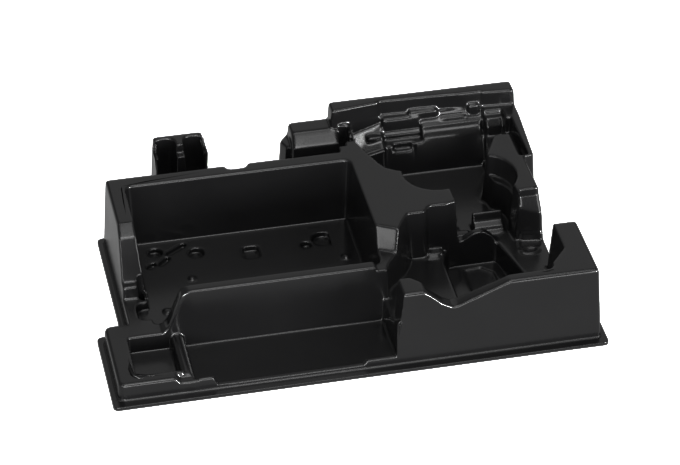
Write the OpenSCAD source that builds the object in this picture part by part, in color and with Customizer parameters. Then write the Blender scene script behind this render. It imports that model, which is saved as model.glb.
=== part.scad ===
// Tool case insert: one thin sheet drawn over a mould, with a parts bin, a long tray and a tool nest
// X runs right along the front edge, Y runs to the back, Z runs up, the origin is the middle of the base

/* [Overall] */
// width over the lip, left to right
body_w = 380; // [360:2:440]
// depth over the lip, front to back
body_d = 264; // [254:2:310]
// height of the common top plane
top_h = 65; // [60:1:75]
// height of the rear block above the base
rear_h = 79; // [72:1:90]
// thickness of the sheet
sheet = 1.8; // [1.4:0.1:2.2]
// slope of every drawn wall, sideways travel for each unit of height
draft = 0.06; // [0.04:0.01:0.08]
// corner radius of the walls in plan
corner_r = 4; // [3:0.5:6]
// roll of the edges around the tops
edge_r = 1.8; // [1:0.2:2.4]

/* [Lip] */
// height of the lip that the insert stands on
lip_h = 3; // [2.5:0.1:4]
// lip outside the side and back walls
lip_side = 4.3; // [3:0.1:6]
// lip outside the front wall
lip_front = 7.1; // [5:0.1:9]
// step in of the lip behind the front bar, left and right
grip_in = 19; // [12:1:26]
// depth of the full width front bar
bar_d = 87; // [84:1:92]

/* [Parts bin] */
// width of the bin at its floor
bin_w = 172; // [150:1:180]
// wall of the bin at the left, at the base
bin_wall = 20.8; // [16:0.2:26]
// height of the bin floor above the base
bin_floor = 10; // [8:0.5:14]
// depth of the prints in the bin floor
print_depth = 4.5; // [2:0.5:6]

/* [Tray] */
// height of the low block at the left of the tray
tray_h = 17; // [14:0.5:22]
// height of the tray floor
tray_floor = 2.6; // [2.4:0.1:4]
// height of the low front rim
rim_h = 6; // [5:0.5:9]
// height of the ridge behind the tray
ridge_h = 52; // [40:1:56]
// thickness of the ridge at its top
ridge_t = 9; // [7:0.5:12]

/* [Tool nest] */
// height of the nest floor
nest_floor = 21; // [18:1:26]
// height of the platform at the right
platform_h = 22; // [18:1:26]
// height of the pit floor
pit_floor = 4; // [3:0.5:8]
// height of the saddle across the nest
saddle_h = 32; // [28:1:38]
// height of the ledge inside the hook
hook_ledge = 47; // [40:1:52]

/* [Hidden] */
$fn = 20;
half_w = body_w / 2;
half_d = body_d / 2;
black = [0.09, 0.09, 0.1];

// plan coordinates measured from the left, right, front and back edges of the lip
function lx(v) = v - half_w;
function rx(v) = half_w - v;
function fy(v) = v - half_d;
function by(v) = half_d - v;
// corner points of an upright rectangle
function box4(x0, y0, x1, y1) = [[x0, y0], [x1, y0], [x1, y1], [x0, y1]];

// height gain factor of the curve from the low block to the ridge
rk = (ridge_h - tray_h) / 35;
// lines shared by neighbouring features
wall_x0 = lx(lip_side);
front_y = fy(lip_front);
back_in = 51;
bin_x0 = lx(grip_in + lip_side);
bin_y1 = by(back_in + lip_side);
bin_in0 = bin_x0 + bin_wall;
bin_in1 = bin_in0 + bin_w;
step_h = 28.5;
wall_y0 = by(155.2);
tray_y1 = fy(62.8);
tray_x1 = lx(217.8);
ridge_y1 = fy(62.8) + ridge_t + 2 * draft * ridge_h;
post_x0 = lx(69);
post_w = 47;

// Basic solids
// one thin level of an outline, grown by g and rounded at its corners
module level(pts, z, g, r) {
    translate([0, 0, z])
        linear_extrude(height = 0.02)
            offset(r = r + g)
                offset(delta = -r)
                    polygon(pts);
}

// raised block: convex outline given at height at, walls leaning in up to the top at z, o shrinks it to the underside
module mass(pts, z, o = 0, at = 0, r = corner_r, e = edge_r) {
    foot = o > 0 ? -1 : 0;
    hull() {
        level(pts, foot, draft * (at - foot) - o, r);
        level(pts, z - o - e, draft * (at - z + e) - o, r);
        level(pts, z - o - e * 0.3, draft * (at - z) - e * 0.3 - o, r);
        level(pts, z - o - 0.02, draft * (at - z) - e - o, r);
    }
}

// drawn pocket: convex outline given at height at, walls opening outwards upwards from the floor at z
module pocket(pts, z, o = 0, at = 0, r = corner_r, top = rear_h + 5) {
    hull() {
        level(pts, z - o, draft * (z - at) + o, r);
        level(pts, top, draft * (top - at) + o, r);
    }
}

// round pocket with a drafted wall, radius given at height at
module well(c, radius, z, o = 0, at = 0) {
    translate([c[0], c[1], z - o])
        cylinder(h = rear_h, r1 = radius + draft * (z - at) + o, r2 = radius + draft * (z + rear_h - at) + o);
}

// everything above a line of points [x, z], between the depths y0 and y1
module above_x(line, y0, y1, o = 0) {
    last = line[len(line) - 1][0];
    translate([0, y1 + o, 0])
        rotate([90, 0, 0])
            linear_extrude(height = y1 - y0 + 2 * o)
                offset(delta = o)
                    polygon(concat(line, [[last, rear_h + 20], [line[0][0], rear_h + 20]]));
}

// everything above a line of points [y, z], between the widths x0 and x1
module above_y(line, x0, x1, o = 0) {
    last = line[len(line) - 1][0];
    translate([x0 - o, 0, 0])
        rotate([90, 0, 90])
            linear_extrude(height = x1 - x0 + 2 * o)
                offset(delta = o)
                    polygon(concat(line, [[last, rear_h + 20], [line[0][0], rear_h + 20]]));
}

// solid bar along X with the closed outline [y, z], between the widths x0 and x1, o shrinks it to the underside
module bar_x(line, x0, x1, o = 0) {
    translate([x0 + o, 0, 0])
        rotate([90, 0, 90])
            linear_extrude(height = x1 - x0 - 2 * o)
                offset(delta = -o)
                    polygon(line);
}

// Lip
function lip_outline() = [
    [lx(0), fy(0)], [rx(0), fy(0)], [rx(0), fy(bar_d)], [rx(grip_in), fy(bar_d)],
    [rx(grip_in), by(96)], [rx(8), by(96)], [rx(8), by(0)], [post_x0 - lip_side, by(0)],
    [post_x0 - lip_side, by(back_in)], [lx(grip_in), by(back_in)], [lx(grip_in), fy(bar_d)], [lx(0), fy(bar_d)]];

module lip(o = 0) {
    translate([0, 0, o > 0 ? -1 : 0])
        linear_extrude(height = o > 0 ? lip_h - o + 1 : lip_h)
            offset(r = 4 - o)
                offset(delta = -4)
                    polygon(lip_outline());
}

// Parts bin
module bin_body(o) {
    mass(box4(bin_x0, fy(45), lx(240), bin_y1), top_h, o);
}

// top of the left bin wall: low land, a step, a steep rise and an easy one
module bin_wall_profile(o) {
    above_y([[ridge_y1 - 2, tray_h + 0.08], [wall_y0 + 1.5, tray_h + 0.08], [wall_y0 + 2.4, step_h], [wall_y0 + 7.7, step_h],
        [wall_y0 + 26.2, top_h - 7.5], [wall_y0 + 36.2, top_h], [wall_y0 + 40, top_h + 3]], bin_x0 - 10, bin_in0 + 0.5, o);
}

module bin_pockets(o) {
    // the bin itself
    pocket(box4(bin_in0, ridge_y1, bin_in1, by(75.7)), bin_floor, o, r = 2.5);
    // wider part beside the low land
    pocket(box4(bin_x0 + 10.6, fy(85), lx(110), wall_y0 - 5), bin_floor, o, r = 5);
    // groove down the back wall
    pocket(box4(lx(125.5), bin_y1 - 6, lx(136), bin_y1 + 20), lip_h + 6, o, r = 1.5);
}

// prints in the bin floor: round ones, a square one, a bar and its short pieces
module bin_prints(o) {
    z = bin_floor - print_depth;
    a = bin_floor;
    for (p = prints())
        well([lx(p[0]), by(p[1])], p[2], z, o, a);
    hull()
        for (p = [[131, 99], [137, 99], [131, 107], [137, 107]])
            well([lx(p[0]), by(p[1])], 3.5, z, o, a);
    for (s = [[[70, 91], [83, 82.5]], [[62, 103.5], [68, 97.5]], [[52.5, 106], [56, 103]], [[40, 148], [40, 153]]])
        hull()
            for (p = s)
                well([lx(p[0]), by(p[1])], 2.2, z + 0.8, o, a);
}

function prints() = [[60, 88, 5.5], [91.5, 94.5, 6], [178, 102.5, 4], [192.5, 97, 8.5], [201, 103, 3.5]];

// bumps that stand on the bin floor
module bin_bumps(o) {
    for (p = [[82.3, 128.2, 2.4], [205.2, 125.4, 3], [57, 165.6, 3.2]])
        translate([lx(p[0]), by(p[1]), 0])
            cylinder(h = bin_floor + 2.2 - o, r1 = p[2] + 1 - o / 2, r2 = p[2] - o / 2);
}

// Tray, low block and ridge
module tray_block(o) {
    mass(box4(wall_x0, front_y + 0.05, lx(235), fy(bar_d - lip_side)), tray_h, o, r = 6);
}

// height of the ridge along X: low land, an S curve up to the ridge top, the landing at its right end
function ridge_line() = [
    [bin_x0 - 20, tray_h + 0.04], [lx(47), tray_h + 0.04], [lx(50), tray_h + 2 * rk], [lx(52.5), tray_h + 5.5 * rk],
    [lx(54.9), tray_h + 11 * rk], [lx(61.6), tray_h + 28.6 * rk], [lx(63.5), tray_h + 31.8 * rk],
    [lx(66.6), tray_h + 34 * rk], [lx(71), ridge_h], [lx(217), ridge_h]];

module ridge_profile(o) {
    above_x(ridge_line(), fy(40), ridge_y1 + 4, o);
}

module tray_pockets(o) {
    // small pocket in the low block
    pocket(box4(lx(21.2), fy(19.5), lx(60), tray_y1), tray_floor, o, r = 1.5);
    // long tray
    pocket(box4(lx(56), fy(12), tray_x1, tray_y1), tray_floor, o, r = 1.5);
}

// the top of the front rim runs in steps
module rim_profile(o) {
    above_x([[lx(47), tray_h + 2], [lx(48), tray_h + 0.01], [lx(51.5), tray_h - 4.5], [lx(64.5), tray_h - 4.5], [lx(65.5), tray_h - 3.4],
        [lx(76.5), tray_h - 3.4], [lx(79.5), rim_h], [lx(190.5), rim_h], [lx(193.5), rim_h + 3.7], [tray_x1 - 2, rim_h + 3.7]],
        fy(-6), fy(14.5), o);
}

// round topped rib between the small pocket and the tray
module rib(o) {
    x = lx(58.3);
    rr = 5;
    z = tray_h - 7;
    hull() {
        translate([x, front_y + draft * z + o, z])
            rotate([-90, 0, 0])
                cylinder(h = fy(64.5) - front_y - 2 * o, r = rr - o);
        translate([x - rr - draft * z + o, front_y + o, 0])
            cube([2 * (rr + draft * z - o), fy(63.4) - front_y - 2 * o, 1]);
    }
}

// Right half: front block, central wall with the nest, rear part
module right_masses(o) {
    // front right block
    mass(box4(lx(205), front_y, rx(lip_side), fy(79.5)), top_h, o, r = 3);
    // central wall, nest and hook in one block
    mass(box4(lx(203), fy(40), rx(20.7), by(90)), top_h, o);
    // rear part with the right shoulder
    mass([[lx(211), by(99.5)], [rx(13.2), by(99.5)], [rx(9.6), by(39)], [rx(9.6), by(lip_side)], [lx(211), by(lip_side)]],
        rear_h, o, r = 6);
}

// everything in front of the rear block is cut down to the top plane
module rear_profile(o) {
    pocket([[lx(200), by(25)], [lx(260), by(17.6)], [lx(262), by(110)], [lx(200), by(110)]], top_h + 0.04, o, rear_h, r = 1);
    pocket([[lx(255), by(16.4)], [lx(310), by(18.5)], [rx(21.5), by(22.7)], [rx(-10), by(25.4)], [rx(-10), by(110)], [lx(255), by(110)]],
        top_h + 0.06, o, rear_h, r = 1);
}

// room for the low block at the left end of the rear block, with the notch at its right end
module left_room(o) {
    pocket(box4(lx(150), by(51.5), lx(221), by(24)), 38, o, 60, r = 1);
    pocket([[lx(219), by(46)], [lx(227.5), by(46)], [lx(230), by(38)], [lx(228.5), by(25)], [lx(219), by(25)]], 44, o, 60, r = 1);
}

// low block at the left end of the rear block, with a rolled front and a lower step at its left end
module left_block(o) {
    y1 = by(lip_side + 0.1);
    x1 = lx(220.5);
    hull() {
        level(box4(lx(179), by(42), x1 + 3, y1), o > 0 ? -1 : 0, -o, 3);
        level(box4(lx(181.4), by(36), x1 + 0.6, y1 - 2.6), 43 - o, -o, 2.5);
        level(box4(lx(181.9), by(33.8), x1, y1 - 3.2), 54 - o, -o, 2.5);
        level(box4(lx(182.3), by(28.2), x1, y1 - 3.5), 58.6 - o, -o, 2.5);
        level(box4(lx(182.6), by(24.6), x1, y1 - 3.8), 61.8 - o, -o, 2.5);
        level(box4(lx(184), by(22), x1, y1 - 5), 63 - o, -o, 2.5);
    }
    mass([[lx(174.3), by(17.5)], [lx(178), by(28)], [lx(196), by(28)], [lx(196), by(8.4)], [lx(181.5), by(8.4)]], 52.5, o, 52.5, r = 1.5, e = 1);
}

// standing post behind the bin
module post(o) {
    mass(box4(post_x0, by(33), post_x0 + post_w, by(lip_side)), top_h, o, r = 3);
}

module post_pockets(o) {
    for (x = [post_x0 + 7.5, post_x0 + post_w - 16.5])
        pocket(box4(x, by(38), x + 9, by(16.5)), 26, o, r = 2);
    pocket(box4(post_x0 + 12, by(38), post_x0 + post_w - 12, by(27)), top_h - 8, o, r = 1);
}

// Pockets of the right half
// pocket with its own outline at the floor and at the top plane
module loft_pocket(low, z, high, o) {
    hull() {
        level(low, z - o, o, 1);
        level(high, top_h, o, 1);
        level(high, rear_h + 5, o + 1, 1);
    }
}

// level passage that runs from the tray, behind the tower, to the pit
module passage_cut(o) {
    z = platform_h;
    // over the end wall of the tray
    pocket(box4(lx(205), fy(36), lx(240), tray_y1 - 0.05), z + 0.03, o, 0, r = 1);
    // beside the landing and the central wall, one piece for each turn of the wall
    loft_pocket([[lx(223.4), fy(50)], [lx(223.4), fy(70.8)], [lx(228.5), fy(78.1)], [lx(235), fy(83.8)], [lx(270), fy(84)], [lx(270), fy(50)]],
        z, [[lx(221.5), fy(50)], [lx(221.5), fy(66.5)], [lx(232.3), fy(85)], [lx(270), fy(85)], [lx(270), fy(50)]], o);
    loft_pocket([[lx(235), fy(70)], [lx(235), fy(83.8)], [lx(239.6), fy(88.1)], [lx(280), fy(88.1)], [lx(280), fy(70)]],
        z + 0.02, [[lx(232.3), fy(70)], [lx(232.3), fy(85)], [lx(236.9), fy(93.8)], [lx(280), fy(93.8)], [lx(280), fy(70)]], o);
    loft_pocket([[lx(239.6), fy(75)], [lx(239.6), fy(88.1)], [lx(247.4), fy(100.9)], [lx(280), fy(100.9)], [lx(280), fy(75)]],
        z + 0.04, [[lx(236.9), fy(75)], [lx(236.9), fy(93.8)], [lx(240.5), fy(101.1)], [lx(280), fy(101.1)], [lx(280), fy(75)]], o);
    loft_pocket([[lx(247.4), fy(90)], [lx(247.4), fy(100.9)], [lx(250.6), fy(109.3)], [lx(280), fy(109.3)], [lx(280), fy(90)]],
        z + 0.06, [[lx(240.5), fy(90)], [lx(240.5), fy(101.1)], [lx(247.5), fy(111.3)], [lx(280), fy(109.3)], [lx(280), fy(90)]], o);
    // in front of the central wall, with a narrow ledge at its foot
    pocket([[lx(256), fy(95)], [lx(258.6), by(154.8)], [lx(267.1), by(145.8)], [lx(287), by(146.6)], [lx(287), fy(95)]], z + 4.5, o, top_h, r = 1);
    loft_pocket([[lx(262), fy(95)], [lx(265), fy(114.8)], [lx(285), fy(114.8)], [lx(285), fy(95)]],
        z + 0.08, [[lx(258), fy(95)], [lx(265), fy(116.8)], [lx(285), fy(116.8)], [lx(285), fy(95)]], o);
    // between the tower and the front wall
    pocket([[lx(221), fy(33)], [lx(310), fy(33)], [lx(310), fy(100)], [lx(245), fy(60)], [lx(221), fy(50)]], z + 0.05, o, top_h, r = 0.8);
    pocket([[lx(229.7), fy(33)], [lx(239), fy(23.8)], [lx(310), fy(23.8)], [lx(310), fy(60)], [lx(229.7), fy(60)]], z + 0.07, o, top_h, r = 0.4);
    pocket([[lx(239.4), fy(20)], [lx(310), fy(20)], [lx(310), fy(61)], [lx(239.4), fy(61)]], z + 0.09, o, top_h, r = 0.8);
}

// low landing between the end of the ridge and the central wall, whose end slopes down to it
module landing_cut(o) {
    z = ridge_h - 3.6;
    low = [[lx(213), fy(58)], [lx(213), by(168.9)], [lx(229.8), by(177.8)], [lx(240), by(183.2)], [lx(240), fy(58)]];
    high = [[lx(213), fy(58)], [lx(213), by(157.2)], [lx(235.6), by(169.8)], [lx(240), by(172.3)], [lx(240), fy(58)]];
    hull() {
        level(low, z - o, o * 0.4, 0.2);
        level(high, top_h - o * 0.4, o, 0.2);
        level(high, rear_h + 5, o + 1, 0.2);
    }
}

module pit_cut(o) {
    pocket([[lx(276), fy(24)], [rx(44), fy(24)], [rx(43), fy(45)], [rx(51), fy(79)], [rx(59), fy(114.5)],
        [rx(68), fy(120.3)], [lx(282), fy(114.6)], [lx(278), fy(107)], [lx(276), fy(100)]], pit_floor, o, pit_floor, r = 1.5);
    // shallow print in the pit floor
    pocket([[lx(293), fy(40)], [lx(318), fy(40)], [lx(316), fy(103)], [lx(307), fy(112)], [lx(293), fy(110)]],
        pit_floor - 1.5, o, pit_floor, r = 2);
}

module platform_cut(o) {
    // platform between the pit, the post of the front block and the hook
    pocket([[lx(300), fy(22)], [rx(45.2), fy(24.3)], [rx(39.4), fy(28.2)], [rx(26.6), fy(43.6)], [rx(26.6), by(147.5)],
        [rx(42.5), by(144.6)], [rx(60), by(155)], [rx(80), fy(60)]], platform_h, o, top_h, r = 3);
    // opening to the right side
    pocket(box4(rx(39), fy(75.6), rx(-20), by(147.5)), platform_h, o, top_h, r = 3);
    // sloped front of the hook
    above_y([[by(152), top_h - 20], [by(148.4), top_h - 18.4], [by(140.4), top_h - 7], [by(139.8), top_h + 1]], rx(41), rx(10), o);
}

// low step along the foot of the hook
module hook_step(o) {
    mass([[rx(39.8), by(148.8)], [rx(23.2), by(151.4)], [rx(23.2), by(130)], [rx(39.8), by(130)]], 29, o, 29, r = 0.6, e = 0.8);
}

// oval bead on the platform
module platform_bead() {
    translate([rx(36), fy(101), platform_h - 1])
        scale([1, 0.62, 1])
            difference() {
                cylinder(h = 2.6, r1 = 9.4, r2 = 7.6);
                translate([0, 0, -1])
                    cylinder(h = 5, r = 5);
            }
}

// the V in the top of the front wall
module dip_profile(o) {
    above_x([[lx(230), top_h + 6], [lx(237.5), top_h], [lx(252), 52.2], [lx(258.5), 48.6], [lx(262), 48.3], [lx(304), top_h], [lx(316), top_h + 5]],
        fy(-5), fy(26), o);
}

module nest_cut(o) {
    // round side of the nest, cut out of the central wall
    well([lx(282.5), by(100)], 26.5, nest_floor, o, top_h);
    hull() {
        well([lx(282.5), by(100)], 20, nest_floor, o, top_h);
        well([lx(311), by(100)], 20, nest_floor, o, top_h);
    }
    // rear part of the nest
    pocket([[lx(230.4), by(50.6)], [lx(236), by(65.4)], [lx(240.5), by(80)], [lx(245.5), by(88.7)], [lx(254.4), by(94.5)], [rx(56), by(94.5)],
        [rx(53), by(75)], [rx(47), by(66)], [rx(40), by(62.4)], [rx(40), by(38.6)], [lx(230.4), by(38.6)]], nest_floor, o, top_h, r = 1.5);
    // recess behind the hook
    pocket(box4(rx(43.5), by(62.4), rx(25), by(27.5)), 45.6, o, top_h, r = 2);
    // slot outside the hook
    pocket(box4(rx(27.8), by(94), rx(20.5), by(40)), 50, o, top_h, r = 1);
    // round hollow inside the hook with its ledge
    well([lx(317), by(114)], 27, hook_ledge, o, top_h);
    well([lx(316.6), by(119.4)], 24.2, nest_floor, o, top_h);
    // front of the nest over the pit
    pocket([[lx(288), by(165)], [rx(42), by(165)], [rx(41), by(149)], [rx(46.3), by(141)], [rx(44), by(120)], [lx(288), by(120)]],
        platform_h + 0.06, o, top_h, r = 1);
}

// raised saddle across the nest: a steep front, two slopes with a small step between them
module saddle(o) {
    z = saddle_h;
    bar_x([[by(118.4), 10], [by(121.8), z + 3.4], [by(124), z + 3.6], [by(126.6), z - 3.2], [by(131.6), z - 6], [by(132.2), z - 8],
        [by(138.5), z - 11], [by(138.6), 10]], lx(306.6), rx(48.6), o);
}

// crest of the wall between the pit and the nest
module pit_crest(o) {
    intersection() {
        bar_x([[by(148), 3], [by(141.7), 60], [by(139.6), 60], [by(137.4), 3]], lx(284), lx(327), o);
        translate([0, by(130) - o, 0])
            rotate([90, 0, 0])
                linear_extrude(height = 24)
                    offset(delta = -o)
                        polygon([[lx(284), 2], [lx(286), 25.2], [lx(294), 26.2], [lx(301), 30.4], [lx(304.5), 32], [lx(309), 32.4], [lx(312.5), 31.4],
                            [lx(317.4), 27.6], [lx(321.5), 22.6], [lx(325.5), 14], [lx(327), 2]]);
    }
    // small step beside the saddle
    mass(box4(lx(290), by(136), lx(303.5), by(128)), platform_h + 2.6, o, platform_h, r = 1, e = 0.8);
}

// small steps at the left of the pit
module pit_steps(o) {
    mass(box4(lx(263), by(158.6), lx(273.5), by(146)), platform_h + 1.6, o, platform_h, r = 0.6, e = 0.5);
    mass(box4(lx(265), by(155.6), lx(276.5), by(146)), platform_h + 3, o, platform_h, r = 0.6, e = 0.5);
}

// Front of the rear block
// shelf over the nest wall: the sloped wall, its roll, a small step, the shelf and the face above
module shelf_profile(o) {
    above_y([[by(42), nest_floor + 0.04], [by(41.6), nest_floor + 0.5], [by(33.6), 49], [by(31.6), 52.8], [by(29.2), 54.6], [by(28.6), 56.8],
        [by(25.8), 57.6], [by(21.6), 61.8], [by(18.6), rear_h + 4]], lx(287.5), rx(40.5), o);
    // niche with a step and a sloped head
    above_y([[by(42), nest_floor + 0.06], [by(41.7), nest_floor + 0.5], [by(34.6), 46.4], [by(27.8), 47.2], [by(27.2), 52.2], [by(24.8), 52.8],
        [by(23.6), 63.6], [by(20.4), 65.4], [by(18.7), rear_h + 4]], lx(256.5), lx(288.4), o);
    // valley behind the plateau, which rises to the right and to the back
    hull() {
        level(box4(lx(229.6), by(50), lx(230), by(37)), 40 - o, o, 0.1);
        level(box4(lx(257), by(50), lx(257.4), by(37)), 46.6 - o, o, 0.1);
        level(box4(lx(229.6), by(23.4), lx(230), by(23)), 53.4 - o, o, 0.1);
        level(box4(lx(257), by(20), lx(257.4), by(19.6)), 60.2 - o, o, 0.1);
        level([[lx(229.6), by(50)], [lx(257.4), by(50)], [lx(257.4), by(18.3)], [lx(229.6), by(21.7)]], rear_h + 5, o, 0.1);
    }
    // lower pocket under the niche
    pocket(box4(lx(264), by(44), lx(279.5), by(32)), 41, o, 45, r = 1);
    // groove down the wall
    above_y([[by(43), nest_floor + 3], [by(41), nest_floor + 3], [by(32.4), 47], [by(30), 52]], lx(279.9), lx(281.4), o);
}

// ledges and blocks in front of the face
module rear_ledges(o) {
    mass(box4(lx(279.3), by(22.4), lx(303), by(12)), 68, o, 68, r = 1, e = 1.4);
    mass(box4(lx(328.3), by(23.6), lx(337.2), by(12)), 68.6, o, 68, r = 1, e = 1);
    mass(box4(lx(304.5), by(25.6), lx(327), by(12)), 60.6, o, 60, r = 2, e = 1.4);
    mass(box4(lx(243.8), by(30.6), lx(256.6), by(22)), 53.4, o, 53.4, r = 1, e = 1);
    hull() {
        level(box4(rx(39.6), by(32.6), rx(26.4), by(12)), 60.6 - o, -o, 1);
        level(box4(rx(39.6), by(36.6), rx(26.4), by(12)), 54 - o, -o, 1);
        level(box4(rx(40), by(37), rx(26), by(12)), 30, -o, 1);
    }
}

// Whole form: o is 0 for the upper face of the sheet and the sheet thickness for its underside
module form(o) {
    difference() {
        union() {
            difference() {
                union() {
                    lip(o);
                    tray_block(o);
                    bin_body(o);
                    right_masses(o);
                    post(o);
                }
                bin_pockets(o);
                tray_pockets(o);
                post_pockets(o);
                nest_cut(o);
                pit_cut(o);
                landing_cut(o);
                ridge_profile(o);
                bin_wall_profile(o);
                rear_profile(o);
                shelf_profile(o);
                left_room(o);
            }
            left_block(o);
            rear_ledges(o);
            rib(o);
            saddle(o);
            pit_crest(o);
            bin_bumps(o);
        }
        bin_prints(o);
        rim_profile(o);
        passage_cut(o);
        platform_cut(o);
        dip_profile(o);
    }
    hook_step(o);
    pit_steps(o);
}

module insert() {
    color(black)
        difference() {
            union() {
                form(0);
                platform_bead();
            }
            form(sheet);
        }
}

insert();
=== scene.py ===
import math

import bmesh
import bpy
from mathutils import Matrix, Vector


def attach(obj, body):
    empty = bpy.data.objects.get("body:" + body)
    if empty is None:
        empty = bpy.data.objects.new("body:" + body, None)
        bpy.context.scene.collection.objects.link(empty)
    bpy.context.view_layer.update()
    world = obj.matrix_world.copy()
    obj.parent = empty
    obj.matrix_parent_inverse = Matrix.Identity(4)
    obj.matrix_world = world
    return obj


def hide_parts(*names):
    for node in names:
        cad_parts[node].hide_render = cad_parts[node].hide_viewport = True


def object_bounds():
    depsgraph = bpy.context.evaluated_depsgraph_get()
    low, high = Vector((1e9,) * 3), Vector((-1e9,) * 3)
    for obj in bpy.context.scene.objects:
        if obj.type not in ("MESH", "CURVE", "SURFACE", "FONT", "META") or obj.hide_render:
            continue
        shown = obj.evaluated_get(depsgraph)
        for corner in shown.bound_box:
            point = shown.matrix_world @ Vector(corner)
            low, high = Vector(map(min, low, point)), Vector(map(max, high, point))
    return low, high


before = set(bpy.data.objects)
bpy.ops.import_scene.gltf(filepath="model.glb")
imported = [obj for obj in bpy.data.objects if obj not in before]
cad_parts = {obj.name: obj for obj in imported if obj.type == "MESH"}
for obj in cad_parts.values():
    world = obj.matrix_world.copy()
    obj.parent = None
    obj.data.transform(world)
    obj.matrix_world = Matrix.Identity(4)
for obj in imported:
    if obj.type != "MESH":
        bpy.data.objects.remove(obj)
cad_low, cad_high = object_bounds()

MM = 0.001

# The moulded sheet: how thick it is, and the cells it is rebuilt from
SHEET = 1.8 * MM
CELL = 0.6 * MM

# Its rounding, in turns of smoothing: a few for what lies low, and more for walls and tops,
# growing between these two heights
FLOOR_ROUNDING = 4
TOP_ROUNDING = 44
SMOOTHING = 0.5
CRISP_BELOW = 6 * MM
ROUND_ABOVE = 14 * MM

# The form reaches below the ground while it is rebuilt, and is cut off just above the ground
SKIRT = 12 * MM
CUT_OVER_GROUND = 0.02 * MM

# Corners of the source this close together are one, and an edge this low stands on the ground
WELD = 0.002 * MM
ON_GROUND = 0.01 * MM

# The triangles that the upper side keeps, and the light smoothing that follows
TOP_TRIANGLES = 96000
CALMING = 0.4
CALM_TURNS = 2

# The black plastic: its colour, how it bends light, and its roughness from glossy to dull patches
BLACK = (0.0068, 0.0068, 0.0071, 1)
PLASTIC_IOR = 1.5
GLOSSY = 0.16
DULL = 0.24

# The camera, in metres and degrees, fitted to the photograph
CAMERA_AT = (-0.3970, -1.88475, 1.44487)
CAMERA_TURN = 12.157
CAMERA_DOWN = 36.09
CAMERA_LENS = 162.76
CAMERA_SENSOR = 36

# The floor, in metres: half its size and how far it lies below the sheet; its shade and glow
FLOOR_HALF = 6
FLOOR_BELOW = 0.05 * MM
FLOOR_SHADE = 0.05
FLOOR_GLOW = 0.37

# The studio, in metres: how large the lights are, and how far away
BOX_SIZE = 1.1
BACK_SIZE = 1.9
BOX_AWAY = 2.3
PANEL_HIGH = 0.48
STRIP_LONG = 1.8
STRIP_WIDE = 0.36
ROOM_LIGHT = 0.15

# The tone curve keeps the dark tones as they are, and lifts the glowing floor to white
CURVE = ((0.12, 0.12), (0.22, 0.24), (0.36, 1.0))


def link(name, data):
    """A new object in the scene that shows data."""
    made = bpy.data.objects.new(name, data)
    bpy.context.scene.collection.objects.link(made)
    return made


def apply_modifiers(made):
    """Puts the mesh that an object's modifiers make in place of its own."""
    shown = made.evaluated_get(bpy.context.evaluated_depsgraph_get())
    mesh = bpy.data.meshes.new_from_object(shown)
    made.modifiers.clear()
    old = made.data
    made.data = mesh
    bpy.data.meshes.remove(old)


def upper_faces(bm, ground):
    """The faces reached from the highest one without passing an edge that stands on the ground."""
    start = max(bm.faces, key=lambda f: f.calc_center_median().z)
    found = {start}
    queue = [start]
    while queue:
        face = queue.pop()
        for edge in face.edges:
            if max(v.co.z for v in edge.verts) < ground:
                continue
            for other in edge.link_faces:
                if other not in found:
                    found.add(other)
                    queue.append(other)
    return found


def filled_form(node):
    """The node's upper side as a closed solid that reaches below the ground."""
    bm = bmesh.new()
    bm.from_mesh(node.data)
    bmesh.ops.remove_doubles(bm, verts=bm.verts, dist=WELD)
    keep = upper_faces(bm, cad_low.z + ON_GROUND)
    bmesh.ops.delete(bm, geom=[f for f in bm.faces if f not in keep], context="FACES")
    rim = [e for e in bm.edges if e.is_boundary]
    made = bmesh.ops.extrude_edge_only(bm, edges=rim)["geom"]
    for v in made:
        if isinstance(v, bmesh.types.BMVert):
            v.co.z -= SKIRT
    foot = [e for e in made if isinstance(e, bmesh.types.BMEdge)]
    bmesh.ops.triangle_fill(bm, edges=foot, use_beauty=True)
    bmesh.ops.recalc_face_normals(bm, faces=bm.faces)
    mesh = bpy.data.meshes.new("form")
    bm.to_mesh(mesh)
    bm.free()
    return mesh


def rebuild_in_cells(sheet):
    """Rebuilds the form from small even cells, so that it can be smoothed."""
    remesh = sheet.modifiers.new("cells", "REMESH")
    remesh.mode = "VOXEL"
    remesh.voxel_size = CELL
    apply_modifiers(sheet)


def round_edges(sheet):
    """Rounds the edges, little on the floors and more on the walls and tops."""
    walls = sheet.vertex_groups.new(name="walls_and_tops")
    for vertex in sheet.data.vertices:
        share = (vertex.co.z - CRISP_BELOW) / (ROUND_ABOVE - CRISP_BELOW)
        walls.add([vertex.index], min(1.0, max(0.0, share)), "REPLACE")
    for name, turns, group in (("floors", FLOOR_ROUNDING, ""), ("walls", TOP_ROUNDING, walls.name)):
        smooth = sheet.modifiers.new(name, "SMOOTH")
        smooth.factor = SMOOTHING
        smooth.iterations = turns
        smooth.vertex_group = group
    apply_modifiers(sheet)


def cut_at_ground(sheet):
    """Cuts off what lies below the ground, and counts the triangles that are left."""
    bm = bmesh.new()
    bm.from_mesh(sheet.data)
    geom = bm.verts[:] + bm.edges[:] + bm.faces[:]
    cut = Vector((0, 0, cad_low.z + CUT_OVER_GROUND))
    bmesh.ops.bisect_plane(bm, geom=geom, plane_co=cut, plane_no=(0, 0, 1), clear_inner=True)
    triangles = sum(len(f.verts) - 2 for f in bm.faces)
    bm.to_mesh(sheet.data)
    bm.free()
    for face in sheet.data.polygons:
        face.use_smooth = True
    return triangles


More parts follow.
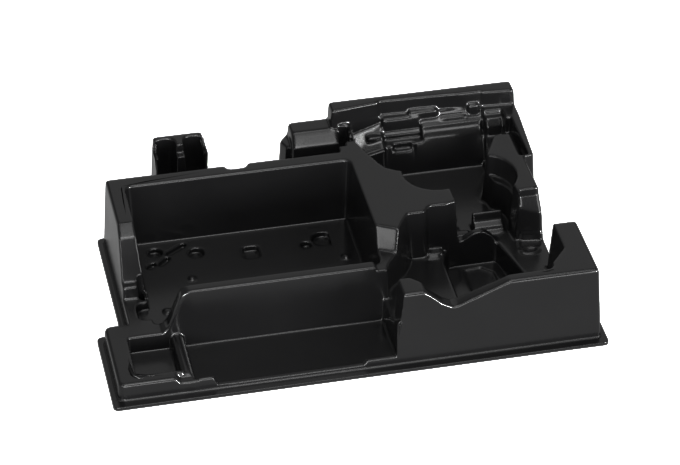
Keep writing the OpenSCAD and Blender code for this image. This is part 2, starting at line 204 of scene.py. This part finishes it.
def give_thickness(sheet, triangles):
    """Makes the upper side lighter and turns it into a sheet that grows inward."""
    fewer = sheet.modifiers.new("fewer", "DECIMATE")
    fewer.ratio = min(1.0, TOP_TRIANGLES / triangles)
    calm = sheet.modifiers.new("calm", "SMOOTH")
    calm.factor = CALMING
    calm.iterations = CALM_TURNS
    thick = sheet.modifiers.new("thickness", "SOLIDIFY")
    thick.thickness = SHEET
    thick.offset = -1
    sheet.modifiers.new("flat_faces", "WEIGHTED_NORMAL")
    apply_modifiers(sheet)
    for vertex in sheet.data.vertices:
        vertex.co.z = max(vertex.co.z, cad_low.z)


def moulded_sheet(node):
    """The node as a sheet with the rounded edges that vacuum forming leaves."""
    sheet = link("moulded_sheet", filled_form(node))
    rebuild_in_cells(sheet)
    round_edges(sheet)
    give_thickness(sheet, cut_at_ground(sheet))
    return sheet


def new_material(name):
    """A node material, its nodes, their links and its surface shader."""
    made = bpy.data.materials.new(name)
    made.use_nodes = True
    nodes = made.node_tree.nodes
    return made, nodes, made.node_tree.links, nodes["Principled BSDF"]


def noise(nodes, links, place, scale, detail):
    """The output of a noise that lies fixed on the object."""
    made = nodes.new("ShaderNodeTexNoise")
    made.inputs["Scale"].default_value = scale
    made.inputs["Detail"].default_value = detail
    links.new(place.outputs["Object"], made.inputs["Vector"])
    return made.outputs["Fac"]


def bump(nodes, links, height, strength, depth):
    """A bump node of that strength and depth, in metres."""
    made = nodes.new("ShaderNodeBump")
    made.inputs["Strength"].default_value = strength
    made.inputs["Distance"].default_value = depth
    links.new(height, made.inputs["Height"])
    return made


def black_plastic():
    """Black sheet plastic with a satin gloss, a faint grain and slight waves."""
    made, nodes, links, shader = new_material("black_plastic")
    shader.inputs["Base Color"].default_value = BLACK
    shader.inputs["IOR"].default_value = PLASTIC_IOR
    place = nodes.new("ShaderNodeTexCoord")

    spread = nodes.new("ShaderNodeMapRange")
    spread.inputs["From Min"].default_value = 0.3
    spread.inputs["From Max"].default_value = 0.7
    spread.inputs["To Min"].default_value = GLOSSY
    spread.inputs["To Max"].default_value = DULL
    links.new(noise(nodes, links, place, scale=22, detail=4), spread.inputs["Value"])
    links.new(spread.outputs["Result"], shader.inputs["Roughness"])

    fine = noise(nodes, links, place, scale=1400, detail=2)
    grain = bump(nodes, links, fine, strength=0.05, depth=0.2 * MM)
    broad = noise(nodes, links, place, scale=30, detail=1)
    waves = bump(nodes, links, broad, strength=0.08, depth=2 * MM)
    links.new(grain.outputs["Normal"], waves.inputs["Normal"])
    links.new(waves.outputs["Normal"], shader.inputs["Normal"])
    return made


def floor():
    """A plain floor that glows, so that it is white and the shadows on it stay pale."""
    bm = bmesh.new()
    bmesh.ops.create_grid(bm, x_segments=1, y_segments=1, size=FLOOR_HALF)
    mesh = bpy.data.meshes.new("floor")
    bm.to_mesh(mesh)
    bm.free()
    made = link("floor", mesh)
    made.location.z = cad_low.z - FLOOR_BELOW
    material, nodes, links, shader = new_material("floor")
    shader.inputs["Base Color"].default_value = (FLOOR_SHADE, FLOOR_SHADE, FLOOR_SHADE, 1)
    shader.inputs["Roughness"].default_value = 0.9
    shader.inputs["Specular IOR Level"].default_value = 0.0
    shader.inputs["Emission Color"].default_value = (1, 1, 1, 1)
    shader.inputs["Emission Strength"].default_value = FLOOR_GLOW
    mesh.materials.append(material)


def around(up, turn):
    """The place up degrees over the floor, turned so far to the right of the front."""
    rise, side = math.radians(up), math.radians(turn)
    flat = BOX_AWAY * math.cos(rise)
    return Vector((flat * math.sin(side), -flat * math.cos(side), BOX_AWAY * math.sin(rise)))


def area_light(name, power, shape, width):
    """A light that shines from a flat face, and its data."""
    data = bpy.data.lights.new(name, "AREA")
    data.shape = shape
    data.size = width
    data.energy = power
    return link(name, data), data


def soft_box(name, up, turn, power, size):
    """A round soft box that faces the insert."""
    made, data = area_light(name, power, "DISK", size)
    made.location = around(up, turn)
    made.rotation_euler = (-made.location).to_track_quat("-Z", "Y").to_euler()


def panel(name, turn, power):
    """A low panel that stands on the floor and faces the insert."""
    made, data = area_light(name, power, "RECTANGLE", BOX_SIZE)
    data.size_y = PANEL_HIGH
    made.location = around(0, turn)
    made.location.z = PANEL_HIGH / 2
    made.rotation_euler = (math.radians(90), 0, math.radians(turn))


def strip(name, up, power):
    """A long light across the front that draws bright lines along rounded edges."""
    made, data = area_light(name, power, "RECTANGLE", STRIP_LONG)
    data.size_y = STRIP_WIDE
    made.location = around(up, 0)
    made.rotation_euler = (math.radians(90 - up), 0, 0)


def tone_curve(settings):
    """Leaves the tones of the plastic as they are and lifts the floor to white."""
    settings.view_transform = "Standard"
    settings.use_curve_mapping = True
    combined = settings.curve_mapping.curves[3]
    for tone, shown in CURVE:
        combined.points.new(tone, shown)
    settings.curve_mapping.update()


def studio():
    """A dim room with panels, soft boxes and strips in front, at the sides, overhead and behind."""
    world = bpy.data.worlds.new("room")
    bpy.context.scene.world = world
    world.use_nodes = True
    room = world.node_tree.nodes["Background"]
    room.inputs["Color"].default_value = (1, 1, 1, 1)
    room.inputs["Strength"].default_value = ROOM_LIGHT
    panel("front", turn=-18, power=33)
    panel("front_middle", turn=10, power=9)
    panel("front_right", turn=38, power=36)
    soft_box("middle", up=50, turn=-4, power=9, size=BOX_SIZE)
    soft_box("left", up=22, turn=-50, power=10, size=BOX_SIZE)
    soft_box("right", up=27, turn=46, power=13, size=BOX_SIZE)
    soft_box("behind", up=36, turn=168, power=2.6, size=BACK_SIZE)
    soft_box("overhead", up=75, turn=25, power=4, size=BOX_SIZE)
    strip("front_strip", up=60, power=9.5)
    strip("top_strip", up=97, power=5)
    tone_curve(bpy.context.scene.view_settings)


def camera():
    """The camera at the photograph's place."""
    data = bpy.data.cameras.new("camera")
    data.sensor_width = CAMERA_SENSOR
    data.lens = CAMERA_LENS
    data.clip_start = 0.01
    data.clip_end = 50
    made = link("camera", data)
    made.location = CAMERA_AT
    made.rotation_euler = (math.radians(90 - CAMERA_DOWN), 0, math.radians(-CAMERA_TURN))
    bpy.context.scene.camera = made


sheet = moulded_sheet(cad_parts["insert"])
sheet.data.materials.clear()
sheet.data.materials.append(black_plastic())
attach(sheet, "root")
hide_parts("insert")
floor()
studio()
camera()
